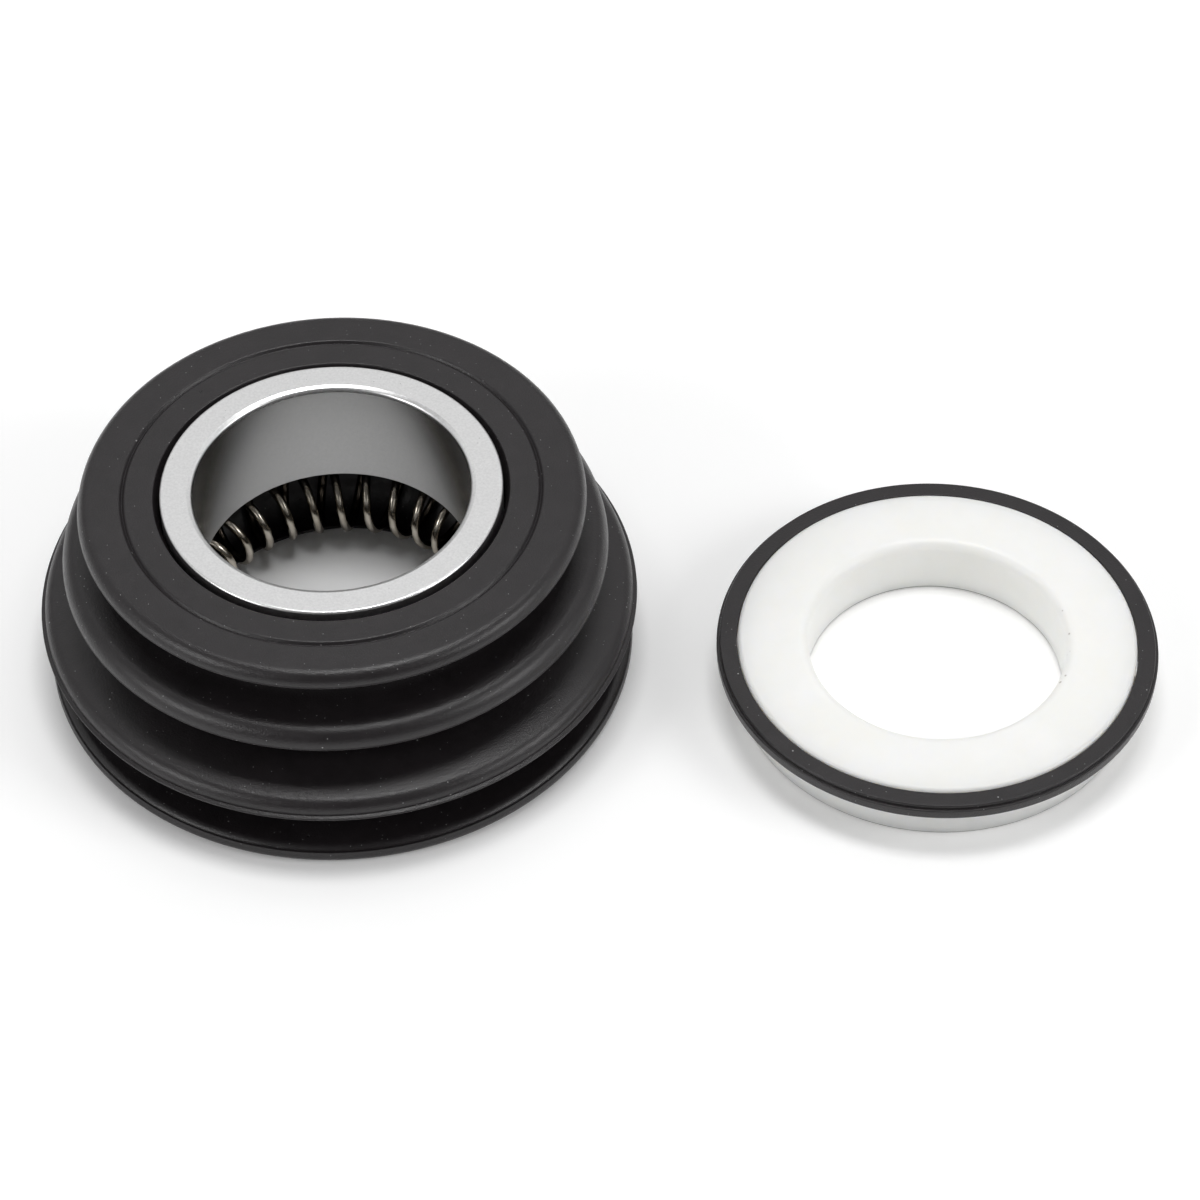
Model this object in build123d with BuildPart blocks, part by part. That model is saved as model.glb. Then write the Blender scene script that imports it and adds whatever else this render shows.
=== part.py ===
from build123d import *

import os
from math import acos, cos, degrees, pi, radians, sin

# Component mechanical seal for a 28 mm shaft, in two separate groups of pieces.
# The rotary head is a moulded rubber bellows that carries a hard face ring in a pocket at its top and a
# toroidal coil spring in a cavity round the shaft. The stationary seat is a ceramic ring in a rubber gasket.
# +Z is up along the shaft, z = 0 is the plane that both stand on, and the head's axis is the Z axis.
# All sizes are millimetres. The moulded rounds and the spring's wire are drawn with a few flats each.

# ---------------------------------------------------------------- driving dimensions
# Face ring
ring_bore_radius = 16.15
ring_outer_radius = 20.0
ring_height = 14.6
ring_face_edge = 0.25  # softened outer edge of the lapped face
lead_in_width = 0.75  # the bore opens out into the lapped face
lead_in_depth = 0.42

# Bellows: pocket for the face ring
ring_proud = 0.36  # how far the lapped face stands above the rubber
pocket_clearance = 0.2  # radial, and under the ring
mouth_clearance = 0.66  # radial, where the pocket's mouth has opened out
mouth_depth = 1.3
pocket_lip_radius = 17.3
pocket_lip_thickness = 1.0
pocket_lip_rise = 0.8  # from the top of the spring's cavity to the underside of the lip

# Bellows: three lobes. Each has a flat top, a rounded rim, a sharp lower edge and a tapered underside.
top_lobe_radius = 29.5
top_lobe_rim_height = 1.55
middle_lobe_radius = 32.1
middle_lobe_edge_height = 17.0
middle_lobe_rim_height = 2.25
bottom_lobe_radius = 35.5
bottom_lobe_edge_height = 8.95
bottom_lobe_rim_height = 2.75
lobe_rim_width = 1.75  # how far in from the rim the rounding starts on the flat top

# Bellows: grooves under the lobes, each a V that ends on the flat top of the lobe or flange below
top_groove_radius = 24.0
middle_groove_radius = 24.6
bottom_groove_radius = 27.0

# Bellows: base flange
flange_radius = 34.9
flange_thickness = 3.3
flange_round = 1.3
toe_radius = 18.45  # inner edge of the lip that keeps the spring in

# Toroidal spring
spring_turns = 30
spring_ring_radius = 19.3  # from the shaft's axis to the middle of the coil
coil_radius = 4.05  # from the middle of the coil to the middle of the wire
wire_radius = 0.55
spring_clearance = 0.15
toe_thickness = 0.55
spring_start_angle = 97.5  # degrees round the shaft, at the innermost point of the first turn

# Seat
seat_distance = 71.3  # between the head's axis and the seat's axis
seat_bore_radius = 15.2
seat_outer_radius = 23.6
seat_height = 7.7
seat_face_edge = 0.5  # softened outer edge of the top
seat_bore_edge = 0.4  # softened upper edge of the bore

# Seat gasket
gasket_fit_gap = 0.1
gasket_height = 1.9
gasket_recess = 0.26  # how far its top lies below the seat's top
gasket_wall = 2.4  # radial
gasket_step = 0.36  # its upper edge stands in by this much
gasket_step_height = 0.55

# How finely rounds and the wire are drawn
flats_per_round = 2
flats_per_cavity = 8
wire_sides = 5
stations_per_turn = 8

# ---------------------------------------------------------------- derived places
cavity_radius = coil_radius + wire_radius + spring_clearance
coil_height = toe_thickness + cavity_radius  # middle of the coil above the base

pocket_lip_bottom = coil_height + cavity_radius + pocket_lip_rise
pocket_floor = pocket_lip_bottom + pocket_lip_thickness
pocket_radius = ring_outer_radius + pocket_clearance
mouth_radius = ring_outer_radius + mouth_clearance
ring_bottom = pocket_floor + pocket_clearance
bellows_height = ring_bottom + ring_height - ring_proud

top_lobe_edge_height = bellows_height - top_lobe_rim_height
middle_lobe_top = middle_lobe_edge_height + middle_lobe_rim_height
bottom_lobe_top = bottom_lobe_edge_height + bottom_lobe_rim_height

gasket_bore_radius = seat_outer_radius + gasket_fit_gap
gasket_outer_radius = gasket_bore_radius + gasket_wall
gasket_top = seat_height - gasket_recess
gasket_bottom = gasket_top - gasket_height
gasket_step_bottom = gasket_top - gasket_step_height

seat_axis = Axis((seat_distance, 0, 0), (0, 0, 1))
seat_plane = Plane(origin=(seat_distance, 0, 0), x_dir=(1, 0, 0), z_dir=(0, -1, 0))


def arc_points(middle, width, height, start, end, flats):
    """Points of an elliptical arc drawn with flats, from one angle to the other in degrees."""
    middle_radius, middle_height = middle
    angles = [radians(start + (end - start) * step / flats) for step in range(flats + 1)]
    return [(middle_radius + width * cos(a), middle_height + height * sin(a)) for a in angles]


def lobe_points(radius, edge_height, rim_height, groove_radius, groove_height):
    """Outline of a lobe from its flat top, round its rim to its lower edge, and in to the groove below."""
    rim_middle = (radius - lobe_rim_width, edge_height)
    return [
        *arc_points(rim_middle, lobe_rim_width, rim_height, 90, 0, flats_per_round),
        (groove_radius, groove_height),
    ]


# ---------------------------------------------------------------- face ring
with BuildPart() as face_ring:
    with BuildSketch(Plane.XZ) as ring_section:
        with Locations((ring_bore_radius, ring_bottom)):
            Rectangle(
                ring_outer_radius - ring_bore_radius, ring_height, align=(Align.MIN, Align.MIN)
            )
        face_corners = ring_section.vertices().group_by(Axis.Y)[-1].sort_by(Axis.X)
        bore_wall = ring_section.edges().sort_by(Axis.X)[0]
        chamfer(face_corners[-1], ring_face_edge)
        chamfer(face_corners[0], lead_in_depth, lead_in_width, reference=bore_wall)
    revolve(axis=Axis.Z)

# ---------------------------------------------------------------- bellows
cavity_middle = (spring_ring_radius, coil_height)
cavity_start = -degrees(acos((toe_radius - spring_ring_radius) / cavity_radius))  # on the toe's inner edge
cavity_end = 45.0  # where it runs out into the straight roof under the pocket's lip

bellows_outline = [
    # pocket and its mouth
    (pocket_lip_radius, pocket_lip_bottom),
    (pocket_lip_radius, pocket_floor),
    (pocket_radius, pocket_floor),
    (pocket_radius, bellows_height - mouth_depth),
    (mouth_radius, bellows_height),
    # lobes and grooves, top to bottom
    *lobe_points(
        top_lobe_radius,
        top_lobe_edge_height,
        top_lobe_rim_height,
        top_groove_radius,
        middle_lobe_top,
    ),
    *lobe_points(
        middle_lobe_radius,
        middle_lobe_edge_height,
        middle_lobe_rim_height,
        middle_groove_radius,
        bottom_lobe_top,
    ),
    *lobe_points(
        bottom_lobe_radius,
        bottom_lobe_edge_height,
        bottom_lobe_rim_height,
        bottom_groove_radius,
        flange_thickness,
    ),
    # base flange
    (flange_radius - flange_round, flange_thickness),
    (flange_radius, flange_thickness - flange_round),
    (flange_radius, 0),
    # toe and the spring's cavity
    (toe_radius, 0),
    *arc_points(
        cavity_middle,
        cavity_radius,
        cavity_radius,
        cavity_start,
        cavity_end,
        flats_per_cavity,
    ),
]

with BuildPart() as bellows:
    with BuildSketch(Plane.XZ):
        with BuildLine():
            Polyline(*bellows_outline, close=True)
        make_face()
    revolve(axis=Axis.Z)

# ---------------------------------------------------------------- toroidal spring


def coil_middle(phase):
    """Middle of the coil where the wire has gone through phase round it, in radians."""
    around = radians(spring_start_angle) - phase / spring_turns
    return Vector(spring_ring_radius * cos(around), spring_ring_radius * sin(around), coil_height)


def wire_middle(phase):
    """Middle of the wire there. The wire starts at the coil's inner side and goes down and outwards."""
    around = radians(spring_start_angle) - phase / spring_turns
    outward = Vector(cos(around), sin(around), 0)
    down = Vector(0, 0, -1)
    return coil_middle(phase) + (down * sin(phase) - outward * cos(phase)) * coil_radius


wire_stations = spring_turns * stations_per_turn
wire_route = [wire_middle(2 * pi * station / stations_per_turn) for station in range(wire_stations)]
wire_start = Plane(
    origin=wire_route[0], x_dir=wire_route[0] - coil_middle(0), z_dir=wire_route[1] - wire_route[0]
)

with BuildPart() as toroidal_spring:
    with BuildLine():
        Polyline(*wire_route)
    with BuildSketch(wire_start):
        RegularPolygon(wire_radius, wire_sides)
    sweep(transition=Transition.RIGHT)

# ---------------------------------------------------------------- seat ring
with BuildPart() as seat_ring:
    with BuildSketch(seat_plane) as seat_section:
        with Locations((seat_bore_radius, 0)):
            Rectangle(
                seat_outer_radius - seat_bore_radius, seat_height, align=(Align.MIN, Align.MIN)
            )
        seat_top_corners = seat_section.vertices().group_by(Axis.Y)[-1].sort_by(Axis.X)
        chamfer(seat_top_corners[-1], seat_face_edge)
        chamfer(seat_top_corners[0], seat_bore_edge)
    revolve(axis=seat_axis)

# ---------------------------------------------------------------- seat gasket
with BuildPart() as seat_gasket:
    with BuildSketch(seat_plane):
        with BuildLine():
            Polyline(
                (gasket_bore_radius, gasket_bottom),
                (gasket_outer_radius, gasket_bottom),
                (gasket_outer_radius, gasket_step_bottom),
                (gasket_outer_radius - gasket_step, gasket_step_bottom),
                (gasket_outer_radius - gasket_step, gasket_top),
                (gasket_bore_radius, gasket_top),
                close=True,
            )
        make_face()
    revolve(axis=seat_axis)

# ---------------------------------------------------------------- labels and files
os.makedirs("parts", exist_ok=True)

face_ring.part.label = "face_ring"
export_step(face_ring.part, "parts/face_ring.step")

bellows.part.label = "bellows"
export_step(bellows.part, "parts/bellows.step")

toroidal_spring.part.label = "toroidal_spring"
export_step(toroidal_spring.part, "parts/toroidal_spring.step")

seat_ring.part.label = "seat_ring"
export_step(seat_ring.part, "parts/seat_ring.step")

seat_gasket.part.label = "seat_gasket"
export_step(seat_gasket.part, "parts/seat_gasket.step")
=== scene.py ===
"""Looks of a component mechanical seal: rotary head with rubber bellows, and stationary ceramic seat."""

import math
from collections import namedtuple

import bmesh
import bpy
from mathutils import Matrix, Vector


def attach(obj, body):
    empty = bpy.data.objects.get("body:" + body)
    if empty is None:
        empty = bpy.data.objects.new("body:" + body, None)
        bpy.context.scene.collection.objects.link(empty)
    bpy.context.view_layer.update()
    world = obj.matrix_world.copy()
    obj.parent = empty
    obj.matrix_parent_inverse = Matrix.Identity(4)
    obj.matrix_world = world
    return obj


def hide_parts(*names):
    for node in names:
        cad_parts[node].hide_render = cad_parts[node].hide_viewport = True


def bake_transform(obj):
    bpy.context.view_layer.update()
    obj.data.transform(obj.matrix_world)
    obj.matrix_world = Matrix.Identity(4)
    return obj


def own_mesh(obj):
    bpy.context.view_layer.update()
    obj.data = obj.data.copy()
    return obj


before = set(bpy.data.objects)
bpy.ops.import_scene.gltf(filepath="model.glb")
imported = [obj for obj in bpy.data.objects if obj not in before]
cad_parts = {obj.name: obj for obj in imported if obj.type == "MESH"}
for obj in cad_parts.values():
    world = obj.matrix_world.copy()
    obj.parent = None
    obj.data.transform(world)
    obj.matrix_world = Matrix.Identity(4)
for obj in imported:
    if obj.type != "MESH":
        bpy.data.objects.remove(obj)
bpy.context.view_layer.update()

# Sizes below are millimetres, as on the object. Meshes are made in metres.
MM = 0.001

# ---------------------------------------------------------------- sizes
HEAD_X = 0.0
SEAT_X = 71.3

RING_BORE = 16.15
RING_OUTER = 20.0
RING_BOTTOM = 12.05
RING_TOP = 26.65
LEAD_IN_WIDTH = 0.68
LEAD_IN_DEPTH = 0.6
LEAD_IN_BEND = (0.18, 0.2)  # where it turns steeper: out from the bore, down from the top

BELLOWS_TOP = 26.29
POCKET_LIP = 17.3
POCKET_LIP_BOTTOM = 10.85
POCKET_FLOOR = 11.85
POCKET_WALL = 20.2
POCKET_WALL_TOP = 24.6  # above it the pocket widens to its mouth
POCKET_MOUTH = 20.8

LINE_RADIUS = 24.4  # shallow moulded groove round the top
LINE_SPREAD = 0.22
LINE_DEPTH = 0.34
LINE_REACH = 3  # half its width, in spreads

# edge is the height of the widest place, top the height of the flat on top, slope the shoulder's, in degrees
Lobe = namedtuple("Lobe", "radius edge top rim_round slope")
TOP_LOBE = Lobe(29.64, 24.74, 26.29, 1.55, 0)
MIDDLE_LOBE = Lobe(32.1, 17.0, 19.25, 2.1, 5)
BOTTOM_LOBE = Lobe(35.02, 9.02, 11.7, 1.6, 12)
SHOULDER_ROUND = 4.0  # where a sloping shoulder meets the flat top
RUN_IN = 0.25  # how far before the rim a level top ends
UNDER_ROUND = 0.5  # round below a lobe's widest place
FLASH_ROUND = 0.08  # thin bead that the mould leaves round a lobe's widest place
FLASH_PLACE = (0.03, 0.02)  # middle of the bead: in from the widest place, and down from it

Lip = namedtuple("Lip", "radius height round")
LIP = Lip(35.48, 8.62, 0.13)  # thin lip left by the mould under the bottom lobe
LIP_NOTCH = 0.12  # height of the notch between the lobe and the lip

Groove = namedtuple("Groove", "root round")
TOP_GROOVE = Groove(24.3, 2.2)
MIDDLE_GROOVE = Groove(25.0, 2.3)
BOTTOM_GROOVE = Groove(27.0, 1.6)

FLANGE_RADIUS = 34.9
FLANGE_TOP = 2.5
FLANGE_ROUND = 1.25
PARTING_SLOPE = 39.0  # where the mould's parting line runs on the flange's rim, in degrees above level
PARTING_NOTCH = 0.13  # how deep its notch is
PARTING_FLASH = 0.05  # how far its flash stands out
TOE_RADIUS = 18.45

SPRING_TURNS = 30
SPRING_RADIUS = 19.3
COIL_RADIUS = 4.05
COIL_HEIGHT = 5.3
WIRE_RADIUS = 0.55
SPRING_START = math.radians(97.5)
CAVITY_RADIUS = 4.75
CAVITY_START = -math.degrees(math.acos((TOE_RADIUS - SPRING_RADIUS) / CAVITY_RADIUS))
CAVITY_END = 45.0

SEAT_BORE = 15.2
SEAT_OUTER = 23.6
SEAT_TOP = 7.7

GASKET_BORE = 23.7
GASKET_OUTER = 26.1
GASKET_STEP_RADIUS = 25.74
GASKET_BOTTOM = 5.54
GASKET_STEP = 6.89
GASKET_TOP = 7.44

AROUND = 288  # steps round each turned piece
LINE_STEPS = 12
RIM_STEPS = 20  # round a lobe's rim or a groove's root
CAVITY_STEPS = 24
STATIONS_PER_TURN = 24  # along one turn of the spring


# ---------------------------------------------------------------- outlines
def rounded(corners, steps=8, support=0.05):
    """Closed outline of points from corners (radius, height, round), each corner rounded to its own round."""
    outline = []
    for index, (r, z, round_radius) in enumerate(corners):
        here = Vector((r, z))
        if round_radius <= 0:
            outline.append(here)
            continue
        back = Vector(corners[index - 1][:2]) - here
        onward = Vector(corners[(index + 1) % len(corners)][:2]) - here
        half = back.angle(onward) / 2
        room = 0.45 * min(back.length, onward.length)
        cut = min(round_radius / math.tan(half), room)
        radius = cut * math.tan(half)
        back.normalize()
        onward.normalize()
        middle = here + (back + onward).normalized() * (radius / math.sin(half))
        start = here + back * cut - middle
        turn = start.angle_signed(here + onward * cut - middle)
        if cut + support < room:
            outline.append(here + back * (cut + support))
        for step in range(steps + 1):
            angle = -turn * step / steps
            outline.append(middle + Matrix.Rotation(angle, 2) @ start)
        if cut + support < room:
            outline.append(here + onward * (cut + support))
    return outline


def arc(middle, radius, start, end, steps):
    """Corners along a circular arc, from one angle to the other in degrees."""
    corners = []
    for step in range(steps + 1):
        angle = math.radians(start + (end - start) * step / steps)
        corners.append((middle[0] + radius * math.cos(angle), middle[1] + radius * math.sin(angle), 0))
    return corners


def lobe(size, lip=None):
    """Corners of a lobe, from its flat top down its shoulder and round its rim to the underside."""
    shoulder = math.radians(size.slope)
    rise = size.top - (size.edge + size.rim_round * math.cos(shoulder))
    start = size.radius - size.rim_round * (1 - math.sin(shoulder))
    if size.slope:
        corners = [(start - rise / math.tan(shoulder), size.top, SHOULDER_ROUND)]
    else:
        corners = [(start - RUN_IN, size.top, 0)]
    rim_middle = (size.radius - size.rim_round, size.edge)
    if lip:
        corners += arc(rim_middle, size.rim_round, 90 - size.slope, 0, RIM_STEPS)
        corners.append((size.radius, lip.height + lip.round + LIP_NOTCH, 0))
        return corners + arc((lip.radius - lip.round, lip.height), lip.round, 72, -90, 12)
    corners += arc(rim_middle, size.rim_round, 90 - size.slope, 4, RIM_STEPS)
    corners += arc((size.radius - FLASH_PLACE[0], size.edge - FLASH_PLACE[1]), FLASH_ROUND, 55, -75, 6)
    return corners + arc((size.radius - UNDER_ROUND, size.edge), UNDER_ROUND, -18, -72, 5)


def groove(size, below):
    """Corners round the root of a groove, from the underside above it to the flat at the height below."""
    return arc((size.root + size.round, below + size.round), size.round, 100, 270, RIM_STEPS)


def flange_rim():
    """Corners round the flange's rim, with the notch and the flash of the mould's parting line."""
    middle = (FLANGE_RADIUS - FLANGE_ROUND, FLANGE_TOP - FLANGE_ROUND)
    return [
        *arc(middle, FLANGE_ROUND, 90, PARTING_SLOPE + 5, 10),
        *arc(middle, FLANGE_ROUND - PARTING_NOTCH, PARTING_SLOPE + 1, PARTING_SLOPE - 1, 1),
        *arc(middle, FLANGE_ROUND + PARTING_FLASH, PARTING_SLOPE - 8, PARTING_SLOPE - 12, 2),
        *arc(middle, FLANGE_ROUND, PARTING_SLOPE - 18, -80, 14),
    ]


def moulded_line(side):
    """Corners across half of the moulded groove: side -1 is towards the axis, 1 is outward."""
    corners = []
    for step in range(LINE_STEPS + 1):
        away = LINE_REACH * LINE_SPREAD * step / LINE_STEPS
        depth = LINE_DEPTH * math.exp(-((away / LINE_SPREAD) ** 2))
        corners.append((LINE_RADIUS + side * away, BELLOWS_TOP - depth, 0))
    return corners


# ---------------------------------------------------------------- mesh makers
def finish_mesh(name, mesh, sharp_angle=40):
    """Object from a bmesh, smooth apart from its sharp edges."""
    bmesh.ops.recalc_face_normals(mesh, faces=mesh.faces)
    for face in mesh.faces:
        face.smooth = True
    for edge in mesh.edges:
        if edge.calc_face_angle(0) > math.radians(sharp_angle):
            edge.smooth = False
    data = bpy.data.meshes.new(name)
    mesh.to_mesh(data)
    mesh.free()
    piece = bpy.data.objects.new(name, data)
    bpy.context.scene.collection.objects.link(piece)
    return piece


def turned(name, outline, centre_x=HEAD_X):
    """Solid of revolution of a closed outline about a vertical axis."""
    mesh = bmesh.new()
    rings = []
    for step in range(AROUND):
        angle = 2 * math.pi * step / AROUND
        ring = []
        for r, z in outline:
            place = Vector((centre_x + r * math.cos(angle), r * math.sin(angle), z)) * MM
            ring.append(mesh.verts.new(place))
        rings.append(ring)
    for step in range(AROUND):
        here, beside = rings[step], rings[(step + 1) % AROUND]
        for index in range(len(outline)):
            after = (index + 1) % len(outline)
            mesh.faces.new((here[index], beside[index], beside[after], here[after]))
    return finish_mesh(name, mesh)


def closed_tube(name, centres, outward, radius, sides=10):
    """Round wire along a closed line of centres; outward gives a direction across the line at each."""
    mesh = bmesh.new()
    rings = []
    for index, centre in enumerate(centres):
        along = (centres[(index + 1) % len(centres)] - centres[index - 1]).normalized()
        across = (outward[index] - along * outward[index].dot(along)).normalized()
        up = along.cross(across)
        ring = []
        for side in range(sides):
            angle = 2 * math.pi * side / sides
            place = centre + (across * math.cos(angle) + up * math.sin(angle)) * radius
            ring.append(mesh.verts.new(place * MM))
        rings.append(ring)
    for index in range(len(rings)):
        here, beside = rings[index], rings[(index + 1) % len(rings)]
        for side in range(sides):
            after = (side + 1) % sides
            mesh.faces.new((here[side], here[after], beside[after], beside[side]))
    return finish_mesh(name, mesh)


# ---------------------------------------------------------------- materials
class Nodes:
    """Short way to build the node tree of a material or of the world."""

    def __init__(self, owner, shader="Principled BSDF", coordinates="Object"):
        self.owner = owner
        owner.use_nodes = True
        self.tree = owner.node_tree
        self.shader = self.tree.nodes[shader]
        self.place = self.add("ShaderNodeTexCoord").outputs[coordinates]

    def add(self, kind, inputs=None, **settings):
        node = self.tree.nodes.new(kind)
        for key, value in settings.items():
            setattr(node, key, value)
        for key, value in (inputs or {}).items():
            if isinstance(value, bpy.types.NodeSocket):
                self.tree.links.new(value, node.inputs[key])
            else:
                node.inputs[key].default_value = value
        return node

    def noise(self, size_mm, detail=3.0, roughness=0.5):
        """Noise whose features are about size_mm across, from 0 to 1."""
        inputs = {"Vector": self.place, "Scale": 1 / (size_mm * MM)}
        inputs.update({"Detail": detail, "Roughness": roughness})
        return self.add("ShaderNodeTexNoise", inputs).outputs["Fac"]

    def range(self, value, low_in, high_in, low_out=0.0, high_out=1.0):
        """Value stretched from one range to the other, and held within it."""
        inputs = {"Value": value, "From Min": low_in, "From Max": high_in}
        inputs.update({"To Min": low_out, "To Max": high_out})
        return self.add("ShaderNodeMapRange", inputs).outputs["Result"]

    def mix(self, factor, first, second):
        """Colour from the first, where factor is 0, to the second, where it is 1."""
        node = self.add("ShaderNodeMix", data_type="RGBA")
        for key, value in ((0, factor), (6, first), (7, second)):
            if isinstance(value, bpy.types.NodeSocket):
                self.tree.links.new(value, node.inputs[key])
            else:
                node.inputs[key].default_value = value
        return node.outputs[2]

    def math(self, operation, first, second=0.0):
        """Result of one Math node; either value may be a number or a socket."""
        return self.add("ShaderNodeMath", {0: first, 1: second}, operation=operation).outputs[0]

    def specks(self, spacing_mm, size_mm, share):
        """1 on small round specks about size_mm across, on that share of cells spacing_mm apart, else 0."""
        inputs = {"Vector": self.place, "Scale": 1 / (spacing_mm * MM)}
        cells = self.add("ShaderNodeTexVoronoi", inputs)
        radius = size_mm / spacing_mm / 2
        dot = self.range(cells.outputs["Distance"], radius * 0.6, radius, 1.0, 0.0)
        pick = self.add("ShaderNodeSeparateColor", {"Color": cells.outputs["Color"]}).outputs["Red"]
        return self.math("MULTIPLY", dot, self.math("LESS_THAN", pick, share))

    def along(self, axis):
        """Distance along X, Y or Z, in metres."""
        return self.add("ShaderNodeSeparateXYZ", {"Vector": self.place}).outputs[axis]

    def seen(self):
        """1 for rays from the camera and for those that metal or glass sends on, else 0."""
        path = self.add("ShaderNodeLightPath").outputs
        glossy = self.math("MAXIMUM", path["Is Camera Ray"], path["Is Glossy Ray"])
        return self.math("MAXIMUM", glossy, path["Is Transmission Ray"])

    def radius(self, centre_x):
        """Distance from the vertical axis at centre_x, in metres."""
        kind = "ShaderNodeVectorMath"
        flat = self.add(kind, {0: self.place, 1: (1, 1, 0)}, operation="MULTIPLY").outputs[0]
        away = self.add(kind, {0: flat, 1: (centre_x * MM, 0, 0)}, operation="SUBTRACT").outputs[0]
        return self.add(kind, {0: away}, operation="LENGTH").outputs["Value"]

    def set(self, socket, value):
        if isinstance(value, bpy.types.NodeSocket):
            self.tree.links.new(value, self.shader.inputs[socket])
        else:
            self.shader.inputs[socket].default_value = value

    def bump(self, height, depth_mm):
        node = self.add("ShaderNodeBump", {"Height": height, "Distance": depth_mm * MM, "Strength": 1.0})
        self.set("Normal", node.outputs["Normal"])


RUBBER_SHADE = 0.0125


def grey(value):
    return (value, value, value, 1.0)


def rubber_black(value):
    """Black with the faintest trace of purple, as carbon-filled rubber has."""
    return (value * 1.1, value * 0.91, value, 1.0)


def rubber(name, shade):
    """Moulded black rubber: faint mottling, fine skin texture, specks of dust, and a few pinholes that are
    dented in and painted near-black as painted shade.
    """
    nodes = Nodes(bpy.data.materials.new(name))
    mottle = nodes.range(nodes.noise(3.0), 0.35, 0.65)
    base = nodes.mix(mottle, rubber_black(shade * 0.88), rubber_black(shade * 1.12))
    large_dust = nodes.math("MULTIPLY", nodes.specks(spacing_mm=2.4, size_mm=0.23, share=0.35), 0.9)
    fine_dust = nodes.math("MULTIPLY", nodes.specks(spacing_mm=0.7, size_mm=0.14, share=0.4), 0.6)
    dust = nodes.math("MAXIMUM", large_dust, fine_dust)
    base = nodes.mix(dust, base, grey(0.4))
    pinhole_with_painted_shade = nodes.specks(spacing_mm=4.5, size_mm=0.35, share=0.2)
    # painted shade: the pinholes are painted near-black for the shade inside them, and dented in by the bump
    # below
    nodes.set("Base Color", nodes.mix(pinhole_with_painted_shade, base, grey(0.004)))
    nodes.shader.inputs["Specular IOR Level"].default_value = 0.5
    film = nodes.range(nodes.noise(0.8), 0.3, 0.7, 0.3, 0.38)
    nodes.set("Roughness", nodes.mix(dust, film, grey(0.9)))
    skin = nodes.noise(0.25, detail=3.0, roughness=0.65)
    skin = nodes.math("SUBTRACT", skin, nodes.math("MULTIPLY", pinhole_with_painted_shade, 2.5))
    nodes.bump(skin, 0.045)
    return nodes.owner


def ring_metal(name):
    """Hard face ring: lapped top with a fine even grain of light and dark specks; smoother ground bore,
    painted darker as painted shade.
    """
    nodes = Nodes(bpy.data.materials.new(name))
    nodes.shader.inputs["Metallic"].default_value = 1.0
    grain = nodes.range(nodes.noise(0.3, detail=4.0), 0.35, 0.65)
    base = nodes.mix(grain, grey(0.78), grey(0.86))
    base = nodes.mix(nodes.specks(spacing_mm=0.7, size_mm=0.17, share=0.3), base, grey(0.95))
    base = nodes.mix(nodes.specks(spacing_mm=0.8, size_mm=0.17, share=0.25), base, grey(0.5))
    # painted shade: the bore has a far darker base colour than the face for the shade inside it; its lower
    # roughness is its smoother ground finish
    in_bore = nodes.math("LESS_THAN", nodes.radius(HEAD_X), (RING_BORE + 0.1) * MM)
    nodes.set("Base Color", nodes.mix(in_bore, base, nodes.mix(grain, grey(0.45), grey(0.48))))
    lapped = nodes.range(nodes.noise(0.6), 0.3, 0.7, 0.30, 0.36)
    nodes.set("Roughness", nodes.mix(in_bore, lapped, grey(0.25)))
    nodes.bump(nodes.noise(0.12, detail=2.0), 0.002)
    return nodes.owner


def spring_wire(name):
    """Bright drawn wire, slightly warm, with patches of oil film; its outer side is painted dark as painted
    shade in the cavity.
    """
    nodes = Nodes(bpy.data.materials.new(name))
    nodes.shader.inputs["Metallic"].default_value = 1.0
    film = nodes.range(nodes.noise(1.6, detail=2.0), 0.4, 0.65)
    wire = nodes.mix(film, (0.5, 0.46, 0.4, 1), (0.38, 0.34, 0.28, 1))
    # painted shade: the wire turns dark going out from the axis, for the shade that its outer half lies in
    # inside the cavity
    inner, outer = SPRING_RADIUS - 1.5, SPRING_RADIUS + 0.2
    painted_shade_outside = nodes.range(nodes.radius(HEAD_X), inner * MM, outer * MM)
    nodes.set("Base Color", nodes.mix(painted_shade_outside, wire, (0.09, 0.075, 0.06, 1)))
    nodes.set("Roughness", nodes.range(nodes.noise(0.9), 0.3, 0.7, 0.15, 0.22))
    return nodes.owner


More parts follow.
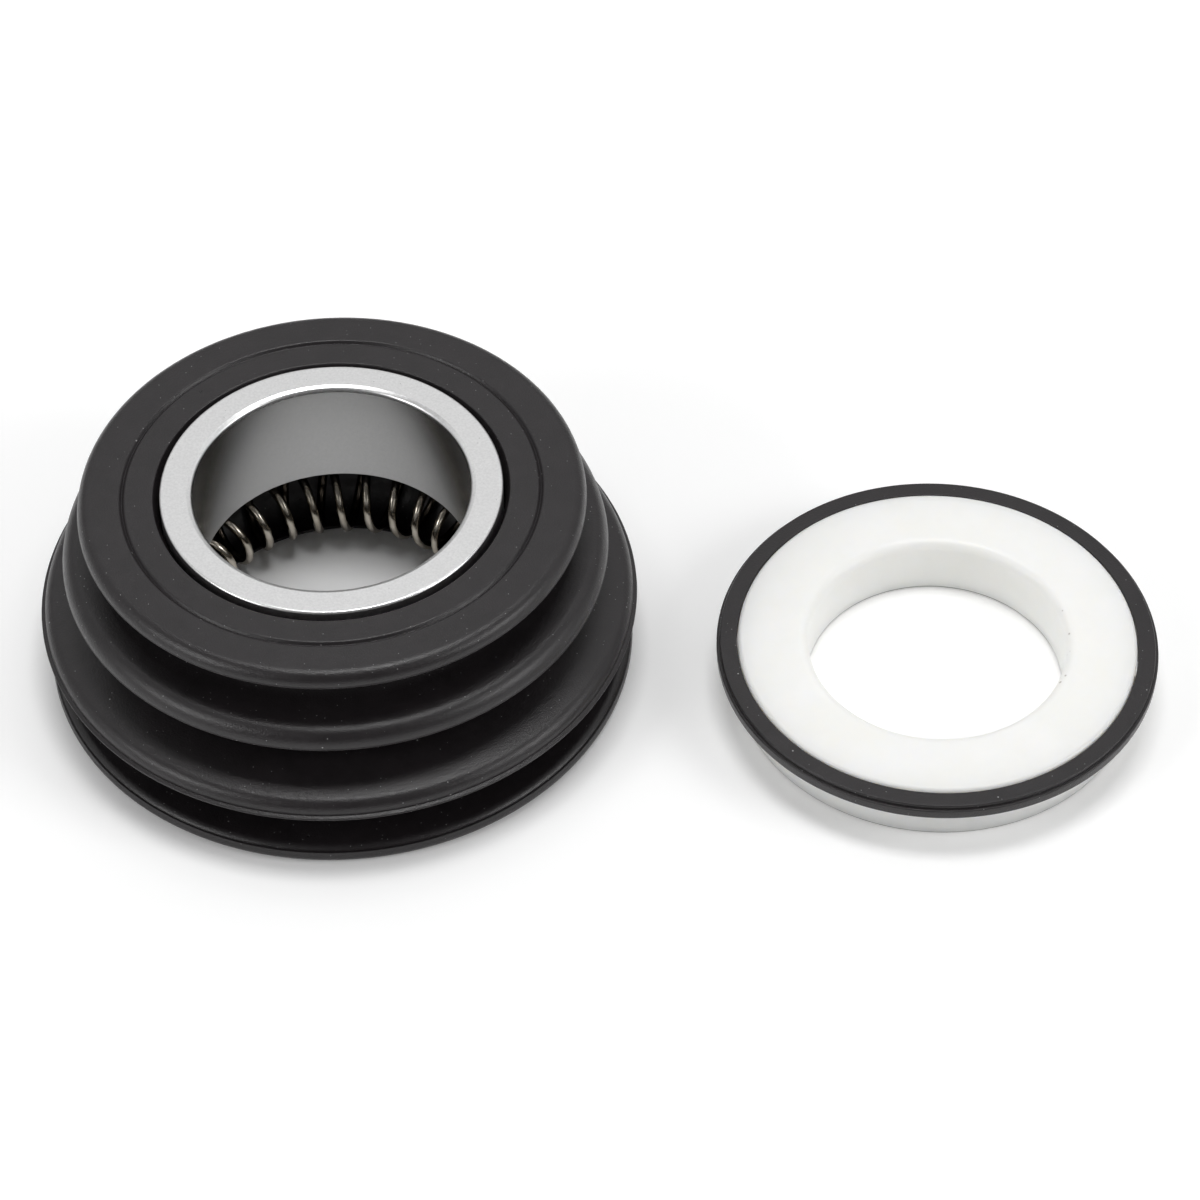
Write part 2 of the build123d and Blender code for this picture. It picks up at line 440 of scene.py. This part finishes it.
def ceramic(name):
    """White alumina: faintly warm and translucent, chipped along the bore's edge, with painted contact shade
    darkening its foot.
    """
    nodes = Nodes(bpy.data.materials.new(name))
    cloud = nodes.range(nodes.noise(6.0), 0.35, 0.65)
    base = nodes.mix(cloud, (0.93, 0.93, 0.89, 1), (0.955, 0.955, 0.92, 1))
    near_bore = nodes.math("LESS_THAN", nodes.radius(SEAT_X), (SEAT_BORE + 0.8) * MM)
    high = nodes.math("GREATER_THAN", nodes.along("Z"), (SEAT_TOP - 0.65) * MM)
    right_side = nodes.math("GREATER_THAN", nodes.along("X"), (SEAT_X + SEAT_BORE * 0.85) * MM)
    chips = nodes.specks(spacing_mm=0.9, size_mm=0.45, share=0.5)
    chips = nodes.math("MULTIPLY", chips, nodes.math("MULTIPLY", near_bore, high))
    chips = nodes.math("MULTIPLY", chips, right_side)
    base = nodes.mix(chips, base, (0.56, 0.53, 0.49, 1))
    # painted shade: a thin darker band within a third of a millimetre of the floor, for the contact shadow at
    # the ring's foot
    painted_foot_shade = nodes.range(nodes.along("Z"), 0.2 * MM, 0.34 * MM, 1.0, 0.0)
    nodes.set("Base Color", nodes.mix(painted_foot_shade, base, (0.36, 0.35, 0.32, 1)))
    nodes.shader.inputs["Subsurface Weight"].default_value = 0.6
    nodes.shader.inputs["Subsurface Radius"].default_value = (1.0, 0.95, 0.85)
    nodes.shader.inputs["Subsurface Scale"].default_value = 4.0 * MM
    nodes.set("Roughness", nodes.range(nodes.noise(0.7), 0.3, 0.7, 0.34, 0.42))
    nodes.bump(nodes.noise(0.15, detail=2.0), 0.003)
    return nodes.owner


# ---------------------------------------------------------------- pieces
def dress(piece, material, node, body=None):
    """Gives a piece its material and the CAD node that it stands for."""
    piece.data.materials.append(material)
    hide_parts(node)
    if body:
        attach(piece, body)
    return piece


def make_face_ring(material):
    corners = [
        (RING_BORE, RING_BOTTOM, 0.18),
        (RING_OUTER, RING_BOTTOM, 0.2),
        (RING_OUTER, RING_TOP, 0.3),
        (RING_BORE + LEAD_IN_WIDTH, RING_TOP, 0.12),
        (RING_BORE + LEAD_IN_BEND[0], RING_TOP - LEAD_IN_BEND[1], 0.4),
        (RING_BORE, RING_TOP - LEAD_IN_DEPTH, 0.25),
    ]
    ring = turned("face_ring_lapped", rounded(corners))
    return dress(ring, material, "face_ring", "face")


def cavity_point(angle):
    """A corner on the wall of the spring's cavity."""
    radians = math.radians(angle)
    return (
        SPRING_RADIUS + CAVITY_RADIUS * math.cos(radians),
        COIL_HEIGHT + CAVITY_RADIUS * math.sin(radians),
        0,
    )


def make_bellows_folds(material):
    """The moulding outside the moulded line: lobes, grooves, base flange and the spring's cavity."""
    sweep = CAVITY_END - CAVITY_START
    cavity = [cavity_point(CAVITY_START + sweep * step / CAVITY_STEPS) for step in range(CAVITY_STEPS + 1)]
    corners = [
        *moulded_line(1),
        *lobe(TOP_LOBE),
        *groove(TOP_GROOVE, MIDDLE_LOBE.top),
        *lobe(MIDDLE_LOBE),
        *groove(MIDDLE_GROOVE, BOTTOM_LOBE.top),
        *lobe(BOTTOM_LOBE, LIP),
        *groove(BOTTOM_GROOVE, FLANGE_TOP),
        *flange_rim(),
        (TOE_RADIUS, 0, 0.25),
        *cavity,
    ]
    folds = turned("bellows_folds", rounded(corners))
    dress(folds, material, "bellows")
    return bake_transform(folds)


def make_bellows_pocket(material):
    """The moulding inside the moulded line: the pocket that holds the face ring, and its lip."""
    corners = [
        cavity_point(CAVITY_END),
        (POCKET_LIP, POCKET_LIP_BOTTOM, 0.25),
        (POCKET_LIP, POCKET_FLOOR, 0.15),
        (POCKET_WALL, POCKET_FLOOR, 0.2),
        (POCKET_WALL, POCKET_WALL_TOP, 0.6),
        (POCKET_MOUTH, BELLOWS_TOP, 0.2),
        *reversed(moulded_line(-1)),
    ]
    pocket = turned("bellows_pocket", rounded(corners))
    dress(pocket, material, "bellows")
    # starts so low that it moves the seam in the cavity just as far as the folds' own bend does
    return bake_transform(pocket)


def make_spring(material):
    """Coil of round wire bent into a ring, joined end to end."""
    centres = []
    outward = []
    for station in range(SPRING_TURNS * STATIONS_PER_TURN):
        phase = 2 * math.pi * station / STATIONS_PER_TURN
        around = SPRING_START - phase / SPRING_TURNS
        away = Vector((math.cos(around), math.sin(around), 0))
        arm = Vector((0, 0, -1)) * math.sin(phase) - away * math.cos(phase)
        centres.append(away * SPRING_RADIUS + Vector((0, 0, COIL_HEIGHT)) + arm * COIL_RADIUS)
        outward.append(arm)
    spring = closed_tube("spring_coil", centres, outward, WIRE_RADIUS)
    dress(spring, material, "toroidal_spring", "base")
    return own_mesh(spring)


def make_seat_ring(material):
    corners = [
        (SEAT_BORE, 0, 0.25),
        (SEAT_OUTER, 0, 0.3),
        (SEAT_OUTER, SEAT_TOP, 0.55),
        (SEAT_BORE, SEAT_TOP, 1.15),
    ]
    seat = turned("seat_ring_ceramic", rounded(corners), SEAT_X)
    return dress(seat, material, "seat_ring", "base")


def make_seat_gasket(material):
    corners = [
        (GASKET_BORE, GASKET_BOTTOM, 0.12),
        (GASKET_OUTER, GASKET_BOTTOM, 0.35),
        (GASKET_OUTER, GASKET_STEP, 0.15),
        (GASKET_STEP_RADIUS, GASKET_STEP, 0.04),
        (GASKET_STEP_RADIUS, GASKET_TOP, 0.18),
        (GASKET_BORE, GASKET_TOP, 0.1),
    ]
    gasket = turned("seat_gasket_moulded", rounded(corners), SEAT_X)
    return dress(gasket, material, "seat_gasket", "base")


make_face_ring(ring_metal("lapped_metal"))
bellows_rubber = rubber("moulded_rubber", RUBBER_SHADE)
make_bellows_folds(bellows_rubber)
make_bellows_pocket(bellows_rubber)
make_spring(spring_wire("bright_wire"))
make_seat_ring(ceramic("white_ceramic"))
make_seat_gasket(rubber("gasket_moulded_rubber", RUBBER_SHADE))


# ---------------------------------------------------------------- camera
CAMERA_PLACE = Vector((0.0700, -0.3408, 0.3835))  # metres
CAMERA_TURN = math.radians(6.49)  # about the vertical, from looking along +Y towards -X
CAMERA_DIP = math.radians(47.42)
CAMERA_ROLL = math.radians(-0.865)
CAMERA_LENS = 128.35  # on a sensor 36 mm wide


def make_camera():
    ahead = Vector((-math.sin(CAMERA_TURN), math.cos(CAMERA_TURN), 0))
    right = Vector((math.cos(CAMERA_TURN), math.sin(CAMERA_TURN), 0))
    forward = ahead * math.cos(CAMERA_DIP) - Vector((0, 0, 1)) * math.sin(CAMERA_DIP)
    up = right.cross(forward)
    x_axis = right * math.cos(CAMERA_ROLL) + up * math.sin(CAMERA_ROLL)
    y_axis = up * math.cos(CAMERA_ROLL) - right * math.sin(CAMERA_ROLL)
    camera = bpy.data.objects.new("camera", bpy.data.cameras.new("camera"))
    camera.data.sensor_width = 36
    camera.data.lens = CAMERA_LENS
    camera.data.clip_start = 0.01
    turn = Matrix((x_axis, y_axis, -forward)).transposed().to_4x4()
    camera.matrix_world = Matrix.Translation(CAMERA_PLACE) @ turn
    bpy.context.scene.collection.objects.link(camera)
    bpy.context.scene.camera = camera


# ---------------------------------------------------------------- floor and light
FLOOR_HALF = 8.0  # metres
FLOOR_GLOW = 0.17  # lifts the pale floor to white where it is seen, and leaves its shadows
FOOT_RADIUS = 22.0
# painted shade: the glow is held back round the head's foot, so the floor there stays darker than the rest
GLOW_REACH = (6.0, 20.0)  # no glow this near to the middle of the flange's foot, and all of it beyond
BACKDROP_TOP = (0.0, 0.06)  # sine of the heights between which the white backdrop fades into the studio
WORLD_LEVEL = 0.14
AIM = Vector((0.03, 0, 0))  # what the lamps are turned to
# name, place, width, height, radiance: metres, and 1.0 is white
LAMPS = [
    ("overhead", (0.05, 0.13, 1.1), 0.5, 0.3, 10.3),
    ("front_left", (-0.75, -0.6, 0.55), 0.42, 0.42, 6.0),
    ("front_right", (0.93, -0.22, 0.57), 0.42, 0.42, 5.8),
    ("behind", (0.03, 1.1, 1.0), 2.6, 1.2, 0.6),
    ("left", (-1.3, 0.15, 0.85), 1.8, 1.4, 0.45),
    ("right", (1.36, 0.25, 0.85), 1.8, 1.4, 0.38),
]


def make_floor():
    data = bpy.data.meshes.new("floor")
    corners = [(x * FLOOR_HALF, y * FLOOR_HALF, 0) for x, y in ((-1, -1), (1, -1), (1, 1), (-1, 1))]
    data.from_pydata(corners, [], [(0, 1, 2, 3)])
    floor = bpy.data.objects.new("floor", data)
    bpy.context.scene.collection.objects.link(floor)
    nodes = Nodes(bpy.data.materials.new("floor"))
    nodes.set("Base Color", grey(0.93))
    nodes.set("Roughness", 0.8)
    nodes.shader.inputs["Specular IOR Level"].default_value = 0.1
    nodes.shader.inputs["Emission Color"].default_value = (1, 1, 1, 1)
    # painted shade: no glow near the middle of the head's foot, so the floor round it reads darker than its
    # lighting makes it
    foot = nodes.math("ABSOLUTE", nodes.math("SUBTRACT", nodes.radius(HEAD_X), FOOT_RADIUS * MM))
    glow_outside_painted_shade = nodes.range(foot, GLOW_REACH[0] * MM, GLOW_REACH[1] * MM, 0.0, FLOOR_GLOW)
    nodes.set("Emission Strength", nodes.math("MULTIPLY", nodes.seen(), glow_outside_painted_shade))
    floor.data.materials.append(nodes.owner)


def make_lamp(name, place, width, height, radiance):
    """Soft rectangular lamp turned to the object, whose surface has the given radiance."""
    lamp = bpy.data.lights.new(name, "AREA")
    lamp.shape = "RECTANGLE"
    lamp.size = width
    lamp.size_y = height
    lamp.energy = radiance * width * height * math.pi
    light = bpy.data.objects.new(name, lamp)
    light.location = place
    light.rotation_euler = (AIM - Vector(place)).to_track_quat("-Z", "Y").to_euler()
    light.visible_camera = False
    bpy.context.scene.collection.objects.link(light)


def make_world(level):
    """Even dim studio, with a white backdrop low round the horizon where it is seen or reflected."""
    world = bpy.data.worlds.new("studio")
    bpy.context.scene.world = world
    nodes = Nodes(world, "Background", "Generated")
    low = nodes.range(nodes.along("Z"), BACKDROP_TOP[0], BACKDROP_TOP[1], 1.0, 0.0)
    white = nodes.math("MULTIPLY", nodes.seen(), low)
    nodes.shader.inputs["Color"].default_value = (1, 1, 1, 1)
    nodes.set("Strength", nodes.range(white, 0.0, 1.0, level, 1.0))


make_camera()
make_floor()
make_world(WORLD_LEVEL)
for lamp in LAMPS:
    make_lamp(*lamp)

bpy.context.scene.view_settings.view_transform = "Standard"
